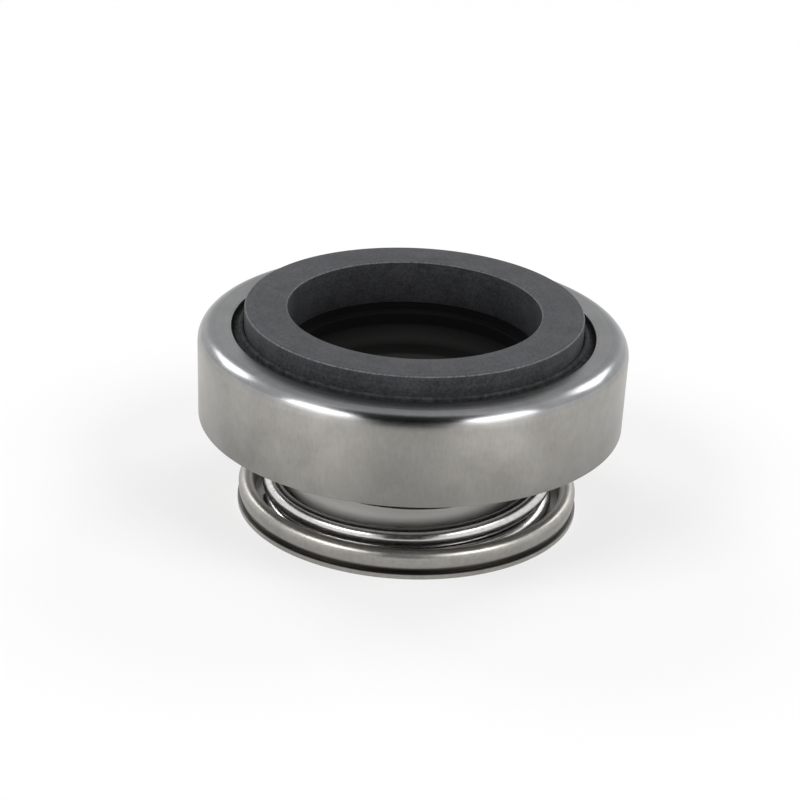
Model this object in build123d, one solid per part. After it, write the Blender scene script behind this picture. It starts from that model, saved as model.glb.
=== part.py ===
from build123d import *
import math
import os

# Rotary head of an elastomer bellows shaft seal.
# Origin on the seal axis, at the underside of the spring retainer. +Z points to the sealing face.
# Millimetres.

# shaft and running clearances
shaft_radius = 10.0
grip_clearance = 0.02          # between pieces that are pressed or clamped together
slide_clearance = 0.30         # between pieces that travel past each other

# carbon seal ring
overall_height = 19.7          # sealing face above the retainer's underside
ring_bore_clearance = 1.75     # round the shaft
ring_face_width = 3.95
ring_height = 4.2
ring_chamfer = 0.15

# rubber bellows
rim_wall = 0.5                 # upstanding rim round the ring
rim_rise = 0.05                # rim above the lip's top face
rim_round = 0.24
seat_thickness = 1.2           # floor under the ring
seat_bore_step = 0.05          # seat bore outside the ring bore
collar_wall = 1.05             # tail that grips the shaft
collar_length = 7.4
collar_bevel = 0.35
bellows_wall = 0.7
fold_foot_length = 1.0         # straight wall above the collar
fold_head_length = 0.9         # straight wall under the seat
fold_reach = 0.6               # how far the fold stands out
fold_bend_radius = 0.7
fold_root_step = 0.1           # outside of the wall beyond the seat bore

# housing shell, a drawn cup that is open at the back
shell_sheet = 0.5
shell_height = 8.74
shell_shoulder_radius = 1.5
shell_taper = 0.15             # how far the wall draws in at its open edge
lip_gap = 0.63                 # between the rubber rim and the lip
lip_width = 3.15               # lip edge to the outside of the shell
lip_drop = 1.88                # sealing face above the lip's top face
lip_edge_round = 0.12

# thrust washer between the spring and the bellows
washer_thickness = 0.9
washer_edge_round = 0.15

# compression spring, right-hand, closed and ground at both ends
wire_diameter = 1.8
coil_bore_clearance = 0.45     # round the retainer's hub
closed_pitch = 1.835
closed_turns_low = 1.25
closed_turns_high = 1.0
active_turns = 2.0
ground_tip_offset = -0.25      # wire axis inside the ground face, at the tip
wire_tip_angle = 188.0         # degrees round the axis, from +X

# spring retainer, one pressed dish
retainer_sheet = 0.45
hub_height = 4.7
hub_bend_radius = 0.45         # inside bend at the foot of the hub
coil_channel_clearance = 0.73
bead_width = 1.5               # rolled bead, over the sheet
bead_crest_flat = 0.03
bead_crest_height = 2.56
bead_foot_radius = 0.1         # inside bends at the feet of the bead
flange_width = 0.08            # flange outside the bead
bead_knee_height = 1.15        # where the outer flank starts to tuck in
bead_knee_radius = 0.4
bead_tuck = 0.475              # foot of the outer flank, inside its widest
flange_bend_radius = 0.03      # inside bend between foot and flange


# radii that several pieces share, outwards from the shaft
collar_outer_radius = shaft_radius + collar_wall
hub_inner_radius = collar_outer_radius + grip_clearance
hub_outer_radius = hub_inner_radius + retainer_sheet
wire_radius = wire_diameter / 2
coil_mean_radius = hub_outer_radius + coil_bore_clearance + wire_radius
bead_inner_flank = coil_mean_radius + wire_radius + coil_channel_clearance
bead_outer_flank = bead_inner_flank + bead_width
ring_bore_radius = shaft_radius + ring_bore_clearance
ring_outer_radius = ring_bore_radius + ring_face_width
seat_bore_radius = ring_bore_radius + seat_bore_step
fold_root_radius = seat_bore_radius + fold_root_step
rim_inner_radius = ring_outer_radius + grip_clearance
rim_outer_radius = rim_inner_radius + rim_wall
lip_inner_radius = rim_outer_radius + lip_gap
shell_outer_radius = lip_inner_radius + lip_width
shell_inner_radius = shell_outer_radius - shell_sheet

# levels along the axis that several pieces share
ring_bottom = overall_height - ring_height
lip_top = overall_height - lip_drop
lip_underside = lip_top - shell_sheet
shell_bottom = lip_top - shell_height
seat_underside = ring_bottom - seat_thickness
washer_underside = seat_underside - grip_clearance - washer_thickness
floor_top = retainer_sheet + grip_clearance


def turned(profile):
    """Turn a flat profile, drawn in the XZ plane, a full turn about the axis."""
    return revolve(profile, axis=Axis.Z, revolution_arc=360)


def block(radius_low, radius_high, low, high):
    """Flat rectangle in the XZ plane, from two radii and two heights."""
    corners = [(radius_low, low), (radius_high, low), (radius_high, high), (radius_low, high)]
    return make_face(Plane.XZ * Polyline(*corners, close=True))


def band(points, bends, thickness):
    """Strip of even thickness in the XZ plane, along a line of bends through the middle of the strip."""
    middle = FilletPolyline(*points, radius=bends)
    return Plane.XZ * trace(middle, thickness)


def ring_edges(solid, radius, height, reach=0.02):
    """Circular edges of a turned solid at one radius and height."""
    return [
        edge
        for edge in solid.edges().filter_by(GeomType.CIRCLE)
        if abs(edge.radius - radius) < reach and abs(edge.center().Z - height) < reach
    ]


def make_seal_ring():
    low = ring_bottom + grip_clearance
    ring = turned(block(ring_bore_radius, ring_outer_radius, low, overall_height))
    edges = ring_edges(ring, ring_outer_radius, overall_height)
    edges += ring_edges(ring, ring_bore_radius, overall_height)
    edges += ring_edges(ring, ring_outer_radius, low)
    return chamfer(edges, ring_chamfer)


def make_housing_shell():
    half = shell_sheet / 2
    points = [
        (shell_outer_radius - shell_taper - half, shell_bottom),
        (shell_outer_radius - half, lip_top - half),
        (lip_inner_radius, lip_top - half),
    ]
    shoulder = shell_shoulder_radius - half
    shell = turned(band(points, [shoulder], shell_sheet))
    edges = ring_edges(shell, lip_inner_radius, lip_top)
    edges += ring_edges(shell, shell_outer_radius - shell_taper, shell_bottom)
    return fillet(edges, lip_edge_round)


def make_rubber_bellows():
    rim_top = lip_top + rim_rise
    body_outer = shell_inner_radius - grip_clearance - shell_taper
    body_top = lip_underside - grip_clearance
    collar_top = floor_top + collar_length

    seat = block(seat_bore_radius, body_outer, seat_underside, ring_bottom)
    holder = block(rim_inner_radius, body_outer, seat_underside, body_top)
    rim = block(rim_inner_radius, rim_outer_radius, seat_underside, rim_top)
    collar = block(shaft_radius, collar_outer_radius, floor_top, collar_top)

    half = bellows_wall / 2
    low_middle = collar_outer_radius - half
    high_middle = fold_root_radius - half
    fold_low = collar_top + fold_foot_length
    fold_high = seat_underside - fold_head_length
    leg = (fold_high - fold_low) / 3
    fold_points = [
        (low_middle, collar_top - bellows_wall),
        (low_middle, fold_low),
        (low_middle + fold_reach, fold_low + leg),
        (low_middle, fold_low + 2 * leg),
        (high_middle, fold_high),
        (high_middle, seat_underside + half),
    ]
    bend = min(fold_bend_radius, leg / 2)
    fold = band(fold_points, [bend] * 4, bellows_wall)
    bellows = turned(seat + holder + rim + collar + fold)

    shoulder = ring_edges(bellows, body_outer, body_top)
    bellows = fillet(shoulder, shell_shoulder_radius - shell_sheet)
    rim_edges = ring_edges(bellows, rim_outer_radius, rim_top)
    rim_edges += ring_edges(bellows, rim_inner_radius, rim_top)
    bellows = fillet(rim_edges, rim_round)
    mouth = ring_edges(bellows, shaft_radius, floor_top)
    return chamfer(mouth, collar_bevel)


def make_thrust_washer():
    inner = fold_root_radius + slide_clearance
    outer = shell_inner_radius - shell_taper - slide_clearance
    washer = turned(block(inner, outer, washer_underside, washer_underside + washer_thickness))
    edges = ring_edges(washer, inner, washer_underside)
    edges += ring_edges(washer, outer, washer_underside)
    return fillet(edges, washer_edge_round)


def coil(pitch, turns, start_height, start_angle):
    """Round wire wound right-handed about the axis, cut square at both ends."""
    path = Helix(pitch=pitch, height=pitch * turns, radius=coil_mean_radius)
    section = Plane.XZ * Pos(coil_mean_radius, 0) * Circle(wire_radius)
    wire = sweep(section, path=path, is_frenet=True)
    return Pos(0, 0, start_height) * Rot(0, 0, start_angle) * wire


def make_compression_spring():
    low_face = floor_top
    high_face = washer_underside - grip_clearance
    first_height = low_face + ground_tip_offset
    active_start = first_height + closed_pitch * closed_turns_low
    last_height = high_face - ground_tip_offset
    active_end = last_height - closed_pitch * closed_turns_high
    active_pitch = (active_end - active_start) / active_turns

    active_angle = wire_tip_angle + 360 * closed_turns_low
    last_angle = active_angle + 360 * active_turns
    wire = coil(closed_pitch, closed_turns_low, first_height, wire_tip_angle)
    wire += coil(active_pitch, active_turns, active_start, active_angle)
    wire += coil(closed_pitch, closed_turns_high, active_end, last_angle)

    inside = coil_mean_radius - wire_diameter
    outside = coil_mean_radius + wire_diameter
    ground_space = turned(block(inside, outside, low_face, high_face))
    return wire & ground_space


def make_spring_retainer():
    half = retainer_sheet / 2
    crest = bead_crest_height - half
    inner_flank = bead_inner_flank + half
    outer_flank = bead_outer_flank - half
    tuck = min(bead_tuck, 0.8 * (outer_flank - inner_flank - retainer_sheet))
    points = [
        (hub_inner_radius + half, hub_height),
        (hub_inner_radius + half, half),
        (inner_flank, half),
        (inner_flank, crest),
        (outer_flank, crest),
        (outer_flank, bead_knee_height),
        (outer_flank - tuck, half),
        (bead_outer_flank + flange_width, half),
    ]
    bead_bend = (outer_flank - inner_flank - bead_crest_flat) / 2
    hub_bend = hub_bend_radius + half
    foot_bend = bead_foot_radius + half
    knee_bend = bead_knee_radius + half
    flange_bend = flange_bend_radius + half
    bends = [hub_bend, foot_bend, bead_bend, bead_bend, knee_bend, flange_bend]
    return turned(band(points, bends, retainer_sheet))


parts = {
    "seal_ring": make_seal_ring(),
    "rubber_bellows": make_rubber_bellows(),
    "housing_shell": make_housing_shell(),
    "thrust_washer": make_thrust_washer(),
    "compression_spring": make_compression_spring(),
    "spring_retainer": make_spring_retainer(),
}

os.makedirs("parts", exist_ok=True)
for node, solid in parts.items():
    export_step(solid, f"parts/{node}.step")
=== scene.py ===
import math

import bmesh
import bpy
from mathutils import Matrix, Vector


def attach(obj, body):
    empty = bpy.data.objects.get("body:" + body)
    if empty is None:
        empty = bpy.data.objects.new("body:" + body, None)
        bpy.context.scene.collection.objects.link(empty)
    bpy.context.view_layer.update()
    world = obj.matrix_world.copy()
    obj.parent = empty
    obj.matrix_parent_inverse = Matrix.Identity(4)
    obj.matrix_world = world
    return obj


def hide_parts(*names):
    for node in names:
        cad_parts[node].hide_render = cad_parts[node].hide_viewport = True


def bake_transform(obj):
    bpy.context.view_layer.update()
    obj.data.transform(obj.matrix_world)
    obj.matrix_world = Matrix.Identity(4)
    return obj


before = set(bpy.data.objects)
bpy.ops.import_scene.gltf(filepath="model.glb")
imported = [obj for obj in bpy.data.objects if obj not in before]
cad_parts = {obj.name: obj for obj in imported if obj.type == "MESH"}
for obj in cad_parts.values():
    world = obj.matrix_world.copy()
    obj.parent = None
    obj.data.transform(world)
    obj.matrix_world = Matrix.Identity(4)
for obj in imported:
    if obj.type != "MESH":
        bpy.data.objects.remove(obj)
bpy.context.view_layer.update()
print("frame loaded:", sorted(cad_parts))

mm = 0.001


def newSection(points, closed=True):
    # a flat outline in the XZ plane, from (radius, height) pairs in millimetres
    section = bmesh.new()
    corners = [section.verts.new((radius * mm, 0, height * mm)) for radius, height in points]
    following = corners[1:] + corners[:1] if closed else corners[1:]
    for first, second in zip(corners, following):
        section.edges.new((first, second))
    return section, corners


def roundCorner(section, corner, radius, segments=8):
    # rounds one corner of an outline: the offset is the length of the tangent
    arms = [edge.other_vert(corner).co - corner.co for edge in corner.link_edges]
    halfAngle = arms[0].angle(arms[1]) / 2
    offset = radius * mm / math.tan(halfAngle)
    bmesh.ops.bevel(section, geom=[corner], offset=offset, offset_type="OFFSET", segments=segments,
                    profile=0.5, affect="VERTICES", material=-1)


def turnAboutAxis(section, steps):
    # a full turn about Z makes the closed, outward-facing surface
    bmesh.ops.spin(section, geom=section.verts[:] + section.edges[:], cent=(0, 0, 0), axis=(0, 0, 1),
                   angle=math.tau, steps=steps, use_merge=True)
    bmesh.ops.remove_doubles(section, verts=section.verts[:], dist=1e-7)
    bmesh.ops.recalc_face_normals(section, faces=section.faces[:])


def placePiece(name, built, material):
    mesh = bpy.data.meshes.new(name)
    built.to_mesh(mesh)
    built.free()
    mesh.materials.append(material)
    piece = bpy.data.objects.new(name, mesh)
    bpy.context.scene.collection.objects.link(piece)
    return piece


def finishPiece(name, built, material, sharpAngle=40):
    piece = placePiece(name, built, material)
    piece.data.shade_smooth()
    piece.data.set_sharp_from_angle(angle=math.radians(sharpAngle))
    return piece


def turnedPiece(name, corners, steps, material):
    # corners: (radius, height, rounding) round the section of a solid ring
    section, made = newSection([corner[:2] for corner in corners])
    for corner, (radius, height, rounding) in zip(made, corners):
        if rounding:
            roundCorner(section, corner, rounding)
    turnAboutAxis(section, steps)
    return finishPiece(name, section, material)


class Finish:
    # a material and short calls that add and join its nodes
    def __init__(self, name):
        self.material = bpy.data.materials.new(name)
        self.material.use_nodes = True
        self.nodes = self.material.node_tree.nodes
        self.links = self.material.node_tree.links
        self.shader = self.nodes["Principled BSDF"]
        self.place = self.nodes.new("ShaderNodeTexCoord").outputs["Object"]

    def set(self, **values):
        for socket, value in values.items():
            self.shader.inputs[socket.replace("_", " ")].default_value = value

    def join(self, source, socket):
        self.links.new(source, self.shader.inputs[socket])

    def scaled(self, scale):
        mapping = self.nodes.new("ShaderNodeMapping")
        mapping.inputs["Scale"].default_value = scale
        self.links.new(self.place, mapping.inputs["Vector"])
        return mapping.outputs["Vector"]

    def noise(self, vector, scale, detail=4, roughness=0.6):
        noise = self.nodes.new("ShaderNodeTexNoise")
        noise.inputs["Scale"].default_value = scale
        noise.inputs["Detail"].default_value = detail
        noise.inputs["Roughness"].default_value = roughness
        self.links.new(vector, noise.inputs["Vector"])
        return noise.outputs["Fac"]

    def ramp(self, source, span, first, second):
        ramp = self.nodes.new("ShaderNodeValToRGB")
        for element, position, colour in zip(ramp.color_ramp.elements, span, (first, second)):
            element.position = position
            element.color = (*colour, 1)
        self.links.new(source, ramp.inputs["Fac"])
        return ramp.outputs["Color"]

    def remap(self, source, span, values):
        remap = self.nodes.new("ShaderNodeMapRange")
        for socket, value in zip(("From Min", "From Max", "To Min", "To Max"), (*span, *values)):
            remap.inputs[socket].default_value = value
        self.links.new(source, remap.inputs["Value"])
        return remap.outputs["Result"]

    def fade(self, source, span, values=(0, 1)):
        # the same for a radius or a height, with the span in millimetres
        return self.remap(source, [edge * mm for edge in span], values)

    def added(self, sources, shares):
        total = 0
        for source, share in zip(sources, shares):
            total = self.math("ADD", total, self.math("MULTIPLY", source, share))
        return total

    def math(self, operation, first, second):
        node = self.nodes.new("ShaderNodeMath")
        node.operation = operation
        for socket, value in zip(node.inputs, (first, second)):
            if isinstance(value, (int, float)):
                socket.default_value = value
            else:
                self.links.new(value, socket)
        return node.outputs[0]

    def mix(self, amount, first, second):
        mix = self.nodes.new("ShaderNodeMix")
        mix.data_type = "RGBA"
        for socket, value in ((mix.inputs["Factor"], amount), (mix.inputs["A"], first), (mix.inputs["B"], second)):
            if isinstance(value, tuple):
                socket.default_value = (*value, 1)
            elif isinstance(value, (int, float)):
                socket.default_value = value
            else:
                self.links.new(value, socket)
        return mix.outputs["Result"]

    def height(self):
        split = self.nodes.new("ShaderNodeSeparateXYZ")
        self.links.new(self.place, split.inputs[0])
        return split.outputs["Z"]

    def radius(self):
        # distance from the seal axis
        flat = self.scaled((1, 1, 0))
        length = self.nodes.new("ShaderNodeVectorMath")
        length.operation = "LENGTH"
        self.links.new(flat, length.inputs[0])
        return length.outputs["Value"]

    def turned(self):
        # the same all the way round, so a noise on it draws lathe marks
        both = self.nodes.new("ShaderNodeCombineXYZ")
        self.links.new(self.radius(), both.inputs["X"])
        self.links.new(self.height(), both.inputs["Z"])
        return both.outputs["Vector"]

    def shade(self, colour, amount):
        shade = self.nodes.new("ShaderNodeVectorMath")
        shade.operation = "SCALE"
        self.links.new(colour, shade.inputs[0])
        self.links.new(amount, shade.inputs["Scale"])
        return shade.outputs["Vector"]

    def blendValue(self, amount, first, second):
        # first where amount is 0, second where it is 1
        away = self.math("SUBTRACT", 1, amount)
        return self.math("ADD", self.math("MULTIPLY", away, first), self.math("MULTIPLY", amount, second))

    def bump(self, height, strength, depth):
        # depth in millimetres
        bump = self.nodes.new("ShaderNodeBump")
        bump.inputs["Strength"].default_value = strength
        bump.inputs["Distance"].default_value = depth * mm
        self.links.new(height, bump.inputs["Height"])
        self.join(bump.outputs["Normal"], "Normal")


def makeCarbon():
    # speckled grey with faint lapping marks, a painted highlight along the top edges broken up by the speckle, and
    # painted shade darkening it down the bore
    look = {"dark": (0.032, 0.033, 0.036), "light": (0.086, 0.087, 0.094), "edge": (0.17, 0.17, 0.175),
            "roughness": (0.42, 0.58), "specular": 0.08, "bump": 0.15, "bumpDepth": 0.04,
            "cloud": 420, "speck": 4200, "marks": 5200, "shares": (0.35, 0.5, 0.15), "spread": (0.38, 0.62),
            "outside": 15.7, "bore": 11.75, "top": 19.7, "edgeLightWidth": 0.091, "edgeLightSoft": 0.04,
            "edgeLightSpread": (0.35, 0.6), "edgeLightLeast": 0.3, "boreSkin": (0.02, 0.1), "boreDepth": 4, "boreShade": 0.45}
    finish = Finish("carbonGraphite")
    cloud = finish.noise(finish.place, look["cloud"], detail=6, roughness=0.7)
    speck = finish.noise(finish.place, look["speck"], detail=3, roughness=0.7)
    marks = finish.noise(finish.turned(), look["marks"], detail=2)
    mottle = finish.added((cloud, speck, marks), look["shares"])
    skin = finish.ramp(mottle, look["spread"], look["dark"], look["light"])
    radius, height = finish.radius(), finish.height()
    # painted highlight: the rim and mouth of the top face painted light, broken up by the speckle
    rim, mouth = look["outside"] - look["edgeLightWidth"], look["bore"] + look["edgeLightWidth"]
    face = look["top"] - look["edgeLightWidth"]
    outer = finish.fade(radius, (rim - look["edgeLightSoft"], rim))
    inner = finish.fade(radius, (mouth, mouth + look["edgeLightSoft"]), (1, 0))
    high = finish.fade(height, (face - look["edgeLightSoft"], face))
    edge = finish.math("MULTIPLY", finish.math("MAXIMUM", outer, inner), high)
    paintedEdgeLight = finish.math("MULTIPLY", edge, finish.remap(speck, look["edgeLightSpread"], (look["edgeLightLeast"], 1)))
    # painted shade: the bore painted darker the deeper it goes
    inBore = finish.fade(radius, [look["bore"] + depth for depth in look["boreSkin"]], (1, 0))
    deep = finish.fade(height, (look["top"] - look["boreDepth"], look["top"]), (look["boreShade"], 1))
    skin = finish.mix(inBore, skin, finish.shade(skin, deep))
    finish.join(finish.mix(paintedEdgeLight, skin, look["edge"]), "Base Color")
    finish.join(finish.remap(mottle, look["spread"], look["roughness"]), "Roughness")
    finish.set(Specular_IOR_Level=look["specular"])
    finish.bump(speck, look["bump"], look["bumpDepth"])
    return finish.material


def makeRubber():
    # black, with a pale dusty bloom on the rim that stands in the lip, and painted light in the bore: lighter low
    # down, near black under the ring
    look = {"dark": (0.005, 0.005, 0.005), "dust": (0.062, 0.064, 0.066), "paintedBoreLight": (0.055, 0.056, 0.053),
            "roughness": 0.8, "specular": 0.06, "bump": 0.3, "bumpDepth": 0.06, "patch": 1700, "pores": 3400,
            "bloom": (15.5, 15.8), "bloomSpread": (0.36, 0.66), "bloomLeast": 0.25, "paintedBoreLightSpan": (8.5, 13.5)}
    finish = Finish("mouldedRubber")
    patch = finish.noise(finish.place, look["patch"], detail=6, roughness=0.75)
    bloom = finish.fade(finish.radius(), look["bloom"])
    amount = finish.math("MULTIPLY", bloom, finish.remap(patch, look["bloomSpread"], (look["bloomLeast"], 1)))
    # painted light: the lower bore painted lighter than the rubber, the upper bore left black as painted shade
    low = finish.fade(finish.height(), look["paintedBoreLightSpan"], (1, 0))
    inside = finish.mix(low, look["dark"], look["paintedBoreLight"])
    finish.join(finish.mix(amount, inside, look["dust"]), "Base Color")
    finish.set(Roughness=look["roughness"], Specular_IOR_Level=look["specular"])
    finish.bump(finish.noise(finish.place, look["pores"], detail=3), look["bump"], look["bumpDepth"])
    return finish.material


def makeDrawnSteel():
    # satin wall with painted shade darkening it towards the open edge, and a burnished shoulder and lip with lathe
    # marks, their flat top painted darker as painted shade
    look = {"dark": (0.295, 0.286, 0.265), "light": (0.375, 0.363, 0.339), "wallRoughness": (0.37, 0.43),
            "lipDark": (0.20, 0.203, 0.210), "lipLight": (0.30, 0.302, 0.308), "lipRoughness": (0.20, 0.26),
            "streak": 4200, "streakStretch": (1, 1, 0.3), "cloud": 240, "marks": 3600,
            "wallShares": (0.3, 0.7), "wallSpread": (0.38, 0.62), "lipShares": (0.5, 0.5), "lipSpread": (0.36, 0.64),
            "markSpread": (0.35, 0.65), "polished": (16.6, 17.3), "flat": (17.55, 17.8), "flatShade": 0.66,
            "wall": (9.1, 15.0), "edgeShade": 0.74, "anisotropy": 0.8, "anisotropyTurn": 0.25,
            "bump": 0.05, "bumpDepth": 0.02}
    finish = Finish("drawnSteel")
    streak = finish.noise(finish.scaled(look["streakStretch"]), look["streak"], detail=4, roughness=0.6)
    cloud = finish.noise(finish.place, look["cloud"], detail=6, roughness=0.65)
    marks = finish.noise(finish.turned(), look["marks"], detail=3, roughness=0.7)
    height = finish.height()
    brushed = finish.added((streak, cloud), look["wallShares"])
    wall = finish.ramp(brushed, look["wallSpread"], look["dark"], look["light"])
    # painted shade: the wall painted darker towards the open edge, for the darker reflection there
    wall = finish.shade(wall, finish.fade(height, look["wall"], (look["edgeShade"], 1)))
    burnished = finish.added((marks, cloud), look["lipShares"])
    lip = finish.ramp(burnished, look["lipSpread"], look["lipDark"], look["lipLight"])
    # painted shade: the flat top of the lip painted darker, for the darker reflection it shows
    lip = finish.shade(lip, finish.fade(height, look["flat"], (1, look["flatShade"])))
    polish = finish.fade(height, look["polished"])
    finish.join(finish.mix(polish, wall, lip), "Base Color")
    rough = finish.remap(brushed, look["wallSpread"], look["wallRoughness"])
    smooth = finish.remap(marks, look["markSpread"], look["lipRoughness"])
    finish.join(finish.blendValue(polish, rough, smooth), "Roughness")
    finish.set(Metallic=1.0, Anisotropic=look["anisotropy"], Anisotropic_Rotation=look["anisotropyTurn"])
    finish.bump(streak, look["bump"], look["bumpDepth"])
    return finish.material


def makePressedSteel():
    # satin all over, with painted light making the hub paler than the sheet and its foot palest, and painted shade
    # darkening the tight fold under the bead
    look = {"dark": (0.31, 0.30, 0.278), "light": (0.39, 0.378, 0.352), "roughness": (0.32, 0.40),
            "streak": 2400, "cloud": 300, "shares": (0.5, 0.5), "spread": (0.36, 0.64),
            "hub": (0.49, 0.48, 0.457), "hubFootPaintedLight": (0.84, 0.82, 0.78), "hubRoughness": 0.55,
            "hubReach": (12.2, 12.9), "hubFoot": (1.6, 2.4), "hubLow": (3.0, 4.4),
            "fold": (0.07, 0.067, 0.062), "foldReach": (15.45, 15.6), "foldLow": (0.38, 0.48), "foldHigh": (0.9, 1.12),
            "bump": 0.08, "bumpDepth": 0.02}
    finish = Finish("pressedSteel")
    streak = finish.noise(finish.place, look["streak"], detail=4, roughness=0.6)
    cloud = finish.noise(finish.place, look["cloud"], detail=3)
    grain = finish.added((streak, cloud), look["shares"])
    skin = finish.ramp(grain, look["spread"], look["dark"], look["light"])
    radius, height = finish.radius(), finish.height()
    # painted light: the hub painted paler than the rest of the sheet, palest low down
    hub = finish.math("MULTIPLY", finish.fade(radius, look["hubReach"], (1, 0)), finish.fade(height, look["hubFoot"]))
    hubPaintedLight = finish.mix(finish.fade(height, look["hubLow"], (1, 0)), look["hub"], look["hubFootPaintedLight"])
    # painted shade: the tight fold under the bead painted dark
    under = finish.math("MULTIPLY", finish.fade(height, look["foldLow"]),
                        finish.fade(height, look["foldHigh"], (1, 0)))
    fold = finish.math("MULTIPLY", under, finish.fade(radius, look["foldReach"]))
    finish.join(finish.mix(fold, finish.mix(hub, skin, hubPaintedLight), look["fold"]), "Base Color")
    rough = finish.remap(grain, look["spread"], look["roughness"])
    finish.join(finish.blendValue(hub, rough, look["hubRoughness"]), "Roughness")
    finish.set(Metallic=1.0)
    finish.bump(streak, look["bump"], look["bumpDepth"])
    return finish.material


def makeSpringWire():
    # bright, with painted shade darkening the side that faces the hub
    look = {"dark": (0.58, 0.572, 0.56), "light": (0.68, 0.672, 0.66), "roughness": (0.20, 0.25),
            "streak": 2400, "spread": (0.36, 0.64), "inner": (12.75, 13.2), "innerShade": 0.22}
    finish = Finish("springWire")
    streak = finish.noise(finish.place, look["streak"], detail=4, roughness=0.6)
    skin = finish.ramp(streak, look["spread"], look["dark"], look["light"])
    # painted shade: the inner side of the wire painted darker
    shade = finish.fade(finish.radius(), look["inner"], (look["innerShade"], 1))
    finish.join(finish.shade(skin, shade), "Base Color")
    finish.join(finish.remap(streak, look["spread"], look["roughness"]), "Roughness")
    finish.set(Metallic=1.0)
    return finish.material


carbon = makeCarbon()
rubber = makeRubber()
shellSteel = makeDrawnSteel()
retainerSteel = makePressedSteel()
wireSteel = makeSpringWire()
print("finishes made")



def makeSealRing():
    size = {"bore": 11.75, "outside": 15.7, "low": 15.52, "high": 19.7, "chamfer": 0.13, "edge": 0.05, "steps": 360}
    high, low, cut, edge = size["high"], size["low"], size["chamfer"], size["edge"]
    corners = [
        (size["bore"], low, 0),
        (size["outside"] - cut, low, 0),
        (size["outside"], low + cut, edge),
        (size["outside"], high - cut, edge),
        (size["outside"] - cut, high, edge),
        (size["bore"] + cut, high, edge),
        (size["bore"], high - cut, edge),
    ]
    piece = turnedPiece("sealRingFine", corners, size["steps"], carbon)
    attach(piece, "head")
    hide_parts("seal_ring")


def makeHousingShell():
    size = {"outside": 20.0, "sheet": 0.5, "low": 9.08, "high": 17.82, "lip": 16.85, "taper": 0.15,
            "shoulder": 1.5, "edge": 0.14, "steps": 480}
    inside = size["outside"] - size["sheet"]
    edge = size["edge"]
    corners = [
        (size["outside"] - size["taper"], size["low"], edge),
        (size["outside"], size["high"], size["shoulder"]),
        (size["lip"], size["high"], edge),
        (size["lip"], size["high"] - size["sheet"], edge),
        (inside, size["high"] - size["sheet"], size["shoulder"] - size["sheet"]),
        (inside - size["taper"], size["low"], edge),
    ]
    piece = turnedPiece("housingShellFine", corners, size["steps"], shellSteel)
    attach(piece, "head")
    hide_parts("housing_shell")


def makeRubberBellows():
    size = {"shaft": 10.0, "collar": 11.05, "low": 0.47, "collarTop": 7.87, "wall": 0.7, "foot": 8.87, "head": 13.4,
            "bow": 0.6, "seatBore": 11.8, "root": 11.9, "seatLow": 14.3, "seatHigh": 15.5, "rimIn": 15.72,
            "rimOut": 16.22, "rimTop": 17.87, "bodyOut": 19.33, "bodyTop": 17.3, "steps": 360}
    wall, collar, bow, root = size["wall"], size["collar"], size["bow"], size["root"]
    foldLow, foldHigh = size["foot"], size["head"]
    leg = (foldHigh - foldLow) / 3
    # up the outside from the collar's foot, over the rim and seat, and down the inside
    corners = [
        (size["shaft"], size["low"], 0.3),
        (collar, size["low"], 0.05),
        (collar, foldLow, 0.9),
        (collar + bow, foldLow + leg, 0.9),
        (collar, foldLow + 2 * leg, 0.4),
        (root, foldHigh, 0.9),
        (root, size["seatLow"], 0.1),
        (size["bodyOut"], size["seatLow"], 0.1),
        (size["bodyOut"], size["bodyTop"], 1.0),
        (size["rimOut"], size["bodyTop"], 0.08),
        (size["rimOut"], size["rimTop"], 0.22),
        (size["rimIn"], size["rimTop"], 0.22),
        (size["rimIn"], size["seatHigh"], 0.05),
        (size["seatBore"], size["seatHigh"], 0.1),
        (size["seatBore"], size["seatLow"] + 0.5 * wall, 0.1),
        (root - wall, size["seatLow"] + 0.5 * wall, 0.2),
        (root - wall, foldHigh, 0.3),
        (collar - wall, foldLow + 2 * leg, 0.9),
        (collar + bow - wall, foldLow + leg, 0.4),
        (collar - wall, foldLow, 0.3),
        (collar - wall, size["collarTop"] + 0.2, 0.1),
        (size["shaft"], size["collarTop"], 0.1),
    ]
    piece = turnedPiece("rubberBellowsFine", corners, size["steps"], rubber)
    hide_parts("rubber_bellows")
    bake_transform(piece)


def makeSpringRetainer():
    size = {"hub": 11.07, "hubHigh": 4.7, "sheet": 0.45, "beadIn": 14.5, "beadWidth": 1.5, "crest": 2.56,
            "crestFlat": 0.03, "knee": 1.15, "kneeBend": 2.3, "tuck": 0.475, "flange": 0.08, "flangeBend": 0.03,
            "hubBend": 0.45, "footBend": 0.1, "edge": 0.07, "sharp": 60, "steps": 480}
    half = size["sheet"] / 2
    beadIn = size["beadIn"] + half
    beadOut = size["beadIn"] + size["beadWidth"] - half
    crest = size["crest"] - half
    crestBend = (beadOut - beadIn - size["crestFlat"]) / 2
    # the middle of the sheet, from the hub's edge outwards
    line = [
        (size["hub"] + half, size["hubHigh"], 0),
        (size["hub"] + half, half, size["hubBend"] + half),
        (beadIn, half, size["footBend"] + half),
        (beadIn, crest, crestBend),
        (beadOut, crest, crestBend),
        (beadOut, size["knee"], size["kneeBend"]),
        (beadOut - size["tuck"], half, half + size["flangeBend"]),
        (size["beadIn"] + size["beadWidth"] + size["flange"], half, 0),
    ]
    section, corners = newSection([point[:2] for point in line], closed=False)
    for corner, (radius, height, rounding) in zip(corners, line):
        if rounding:
            roundCorner(section, corner, rounding, segments=10)
    turnAboutAxis(section, size["steps"])
    piece = finishPiece("springRetainerFine", section, retainerSteel, sharpAngle=size["sharp"])
    thick = piece.modifiers.new("sheet", "SOLIDIFY")
    thick.thickness = size["sheet"] * mm
    thick.offset = 0
    edges = piece.modifiers.new("edges", "BEVEL")
    edges.width = size["edge"] * mm
    edges.segments = 3
    edges.limit_method = "ANGLE"
    edges.angle_limit = math.radians(size["sharp"])
    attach(piece, "tail")
    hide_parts("spring_retainer")


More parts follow.
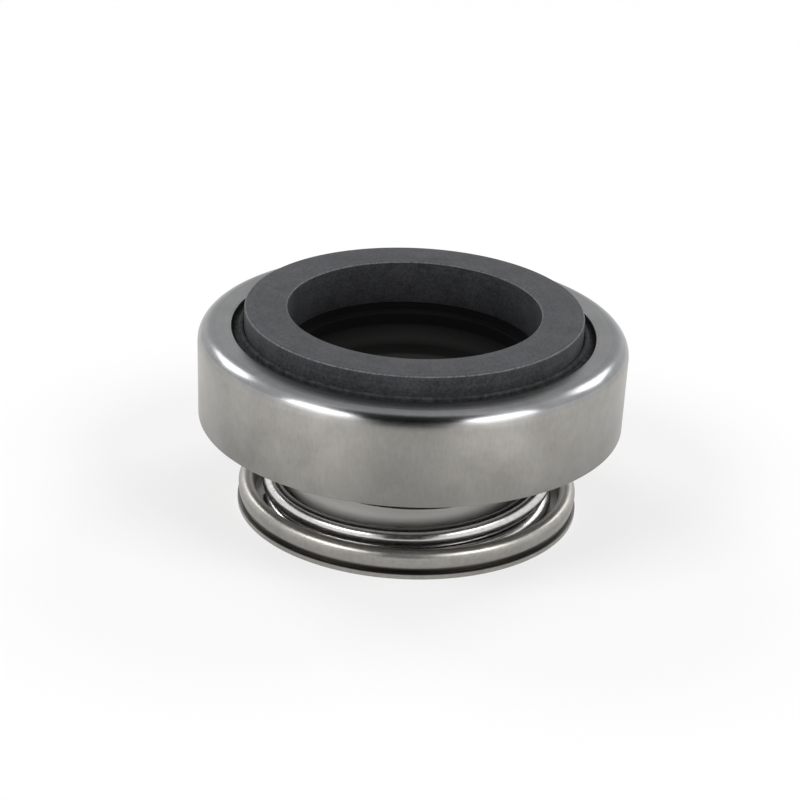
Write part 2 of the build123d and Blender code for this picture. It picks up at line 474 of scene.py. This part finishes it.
def makeCompressionSpring():
    size = {"wire": 1.8, "mean": 12.87, "low": 0.47, "high": 13.36, "tip": -0.25, "closedPitch": 1.835,
            "closedLow": 1.25, "active": 2.0, "closedHigh": 1.0, "startAngle": 188, "sides": 32, "stepsPerTurn": 120,
            "sharp": 50}
    first = size["low"] + size["tip"]
    activeLow = first + size["closedPitch"] * size["closedLow"]
    activeHigh = size["high"] - size["tip"] - size["closedPitch"] * size["closedHigh"]
    # the wire's round section, wound upwards in three stretches, and its ends ground flat
    spring = bmesh.new()
    place = Matrix.Rotation(math.radians(size["startAngle"]), 4, "Z")
    place = place @ Matrix.Translation((size["mean"] * mm, 0, first * mm)) @ Matrix.Rotation(math.pi / 2, 4, "X")
    made = bmesh.ops.create_circle(spring, cap_ends=True, segments=size["sides"], radius=size["wire"] / 2 * mm,
                                   matrix=place)
    front = made["verts"]
    ring = list({edge for vert in front for edge in vert.link_edges})
    activePitch = (activeHigh - activeLow) / size["active"]
    stretches = [(size["closedLow"], size["closedPitch"]), (size["active"], activePitch),
                 (size["closedHigh"], size["closedPitch"])]
    for turns, pitch in stretches:
        steps = round(turns * size["stepsPerTurn"])
        made = bmesh.ops.spin(spring, geom=front + ring, cent=(0, 0, 0), axis=(0, 0, 1), steps=steps,
                              dvec=(0, 0, pitch * turns * mm / steps), angle=math.tau * turns)
        front = [item for item in made["geom_last"] if isinstance(item, bmesh.types.BMVert)]
        ring = [item for item in made["geom_last"] if isinstance(item, bmesh.types.BMEdge)]
    bmesh.ops.contextual_create(spring, geom=ring)
    for height, upwards in ((size["low"], 1), (size["high"], -1)):
        cut = bmesh.ops.bisect_plane(spring, geom=spring.verts[:] + spring.edges[:] + spring.faces[:], dist=1e-8,
                                     plane_co=(0, 0, height * mm), plane_no=(0, 0, upwards), clear_inner=True)
        rims = [item for item in cut["geom_cut"] if isinstance(item, bmesh.types.BMEdge)]
        bmesh.ops.edgeloop_fill(spring, edges=rims)
    bmesh.ops.recalc_face_normals(spring, faces=spring.faces[:])
    piece = finishPiece("compressionSpringFine", spring, wireSteel, sharpAngle=size["sharp"])
    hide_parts("compression_spring")
    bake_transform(piece)


def dressThrustWasher():
    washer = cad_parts["thrust_washer"]
    washer.data.materials.clear()
    washer.data.materials.append(retainerSteel)


makeSealRing()
makeHousingShell()
makeRubberBellows()
makeSpringRetainer()
makeCompressionSpring()
dressThrustWasher()
print("pieces made")


def seenDirectly(nodes, links, cameraShare, glossyShare):
    # how far camera, glossy and transmission rays meet plain white; 0 for the rays that light the object
    rays = nodes.new("ShaderNodeLightPath")
    seen = None
    for name, share in (("Is Camera Ray", cameraShare), ("Is Glossy Ray", glossyShare),
                        ("Is Transmission Ray", cameraShare)):
        part = nodes.new("ShaderNodeMath")
        part.operation = "MULTIPLY"
        part.inputs[1].default_value = share
        links.new(rays.outputs[name], part.inputs[0])
        if seen is not None:
            most = nodes.new("ShaderNodeMath")
            most.operation = "MAXIMUM"
            links.new(seen, most.inputs[0])
            links.new(part.outputs[0], most.inputs[1])
            part = most
        seen = part.outputs[0]
    return seen


def joinSurface(nodes, links, lit, plain, out, shares):
    # lit for the rays that light the object, plain for the ones that are seen
    mix = nodes.new("ShaderNodeMixShader")
    links.new(seenDirectly(nodes, links, *shares), mix.inputs["Fac"])
    links.new(lit.outputs[0], mix.inputs[1])
    links.new(plain.outputs[0], mix.inputs[2])
    links.new(mix.outputs[0], out.inputs["Surface"])


def makeFloor():
    look = {"size": 1.6, "colour": (0.9, 0.9, 0.9), "white": (1.0, 1.0, 1.0), "shares": (0.6, 0.3)}
    material = bpy.data.materials.new("floorWhite")
    material.use_nodes = True
    nodes, links = material.node_tree.nodes, material.node_tree.links
    nodes.clear()
    paper = nodes.new("ShaderNodeBsdfDiffuse")
    paper.inputs["Color"].default_value = (*look["colour"], 1)
    white = nodes.new("ShaderNodeEmission")
    white.inputs["Color"].default_value = (*look["white"], 1)
    joinSurface(nodes, links, paper, white, nodes.new("ShaderNodeOutputMaterial"), look["shares"])
    floor = bmesh.new()
    bmesh.ops.create_grid(floor, x_segments=1, y_segments=1, size=look["size"] / 2)
    placePiece("studioFloor", floor, material)


def makeWorld():
    look = {"seen": (1.0, 1.0, 1.0), "light": (1.0, 1.0, 1.0), "lightStrength": 0.35, "shares": (1.0, 1.0)}
    world = bpy.data.worlds.new("studioWorld")
    bpy.context.scene.world = world
    world.use_nodes = True
    nodes, links = world.node_tree.nodes, world.node_tree.links
    nodes.clear()
    lit = nodes.new("ShaderNodeBackground")
    lit.inputs["Color"].default_value = (*look["light"], 1)
    lit.inputs["Strength"].default_value = look["lightStrength"]
    shown = nodes.new("ShaderNodeBackground")
    shown.inputs["Color"].default_value = (*look["seen"], 1)
    joinSurface(nodes, links, lit, shown, nodes.new("ShaderNodeOutputWorld"), look["shares"])


def addSoftbox(name, look, side):
    # azimuth is counted from the front, towards +X for side 1
    light = bpy.data.lights.new(name, "AREA")
    light.shape = "RECTANGLE"
    light.size, light.size_y = look["size"]
    light.energy = look["watts"]
    lamp = bpy.data.objects.new(name, light)
    turn, lift = math.radians(look["azimuth"] * side), math.radians(look["elevation"])
    towards = Vector((math.sin(turn) * math.cos(lift), -math.cos(turn) * math.cos(lift), math.sin(lift)))
    lamp.location = Vector((0, 0, look["aimHeight"])) + towards * look["distance"]
    lamp.rotation_euler = towards.to_track_quat("Z", "Y").to_euler()
    lamp.visible_camera = False
    bpy.context.scene.collection.objects.link(lamp)


def makeCamera():
    # degrees and metres; right and up shift the camera in its own frame
    view = {"elevation": 24.374, "roll": 2.537, "distance": 0.2261, "right": -0.000968, "up": 0.000685,
            "focalPixels": 2406, "framePixels": 800, "sensor": 36.0, "aimHeight": 0.0096}
    camera = bpy.data.cameras.new("camera")
    camera.sensor_fit = "HORIZONTAL"
    camera.sensor_width = view["sensor"]
    camera.lens = view["focalPixels"] / view["framePixels"] * view["sensor"]
    camera.clip_start = 0.005
    lift, roll = math.radians(view["elevation"]), math.radians(view["roll"])
    back = Vector((0, -math.cos(lift), math.sin(lift)))
    right = Vector((1, 0, 0))
    up = back.cross(right)
    rolledRight = right * math.cos(roll) + up * math.sin(roll)
    rolledUp = up * math.cos(roll) - right * math.sin(roll)
    place = Vector((0, 0, view["aimHeight"])) + back * view["distance"]
    place += rolledRight * view["right"] + rolledUp * view["up"]
    turned = Matrix((rolledRight, rolledUp, back)).transposed().to_4x4()
    eye = bpy.data.objects.new("camera", camera)
    eye.matrix_world = Matrix.Translation(place) @ turned
    bpy.context.scene.collection.objects.link(eye)
    bpy.context.scene.camera = eye


def addDarkCard():
    # a matt card bent over the object, behind the camera: the steel shows it between the two front softboxes
    # bends: (depth, height, half of the width) up the card, in metres
    look = {"colour": (0.02, 0.02, 0.02),
            "bends": [(-0.42, 0.05, 0.13), (-0.42, 0.17, 0.145), (-0.30, 0.40, 0.20), (0.0, 0.45, 0.20)]}
    card = bmesh.new()
    edges = [[card.verts.new((side * halfWidth, depth, height)) for side in (-1, 1)]
             for depth, height, halfWidth in look["bends"]]
    for (lowLeft, lowRight), (highLeft, highRight) in zip(edges, edges[1:]):
        card.faces.new((lowLeft, lowRight, highRight, highLeft))
    finish = Finish("cardBlack")
    finish.set(Base_Color=(*look["colour"], 1), Roughness=1.0, Specular_IOR_Level=0.0)
    piece = placePiece("darkCard", card, finish.material)
    piece.visible_camera = False


softboxes = {
    "front": {"azimuth": 55, "elevation": 45, "distance": 0.6, "aimHeight": 0.01, "size": (0.36, 0.25), "watts": 1.75},
    "back": {"azimuth": 136, "elevation": 36, "distance": 0.6, "aimHeight": 0.01, "size": (0.26, 0.16), "watts": 0.85},
}

makeFloor()
makeWorld()
for hand, side in (("Left", -1), ("Right", 1)):
    for place, look in softboxes.items():
        addSoftbox(place + "Softbox" + hand, look, side)
addDarkCard()
makeCamera()
bpy.context.scene.view_settings.view_transform = "Standard"
print("studio made")
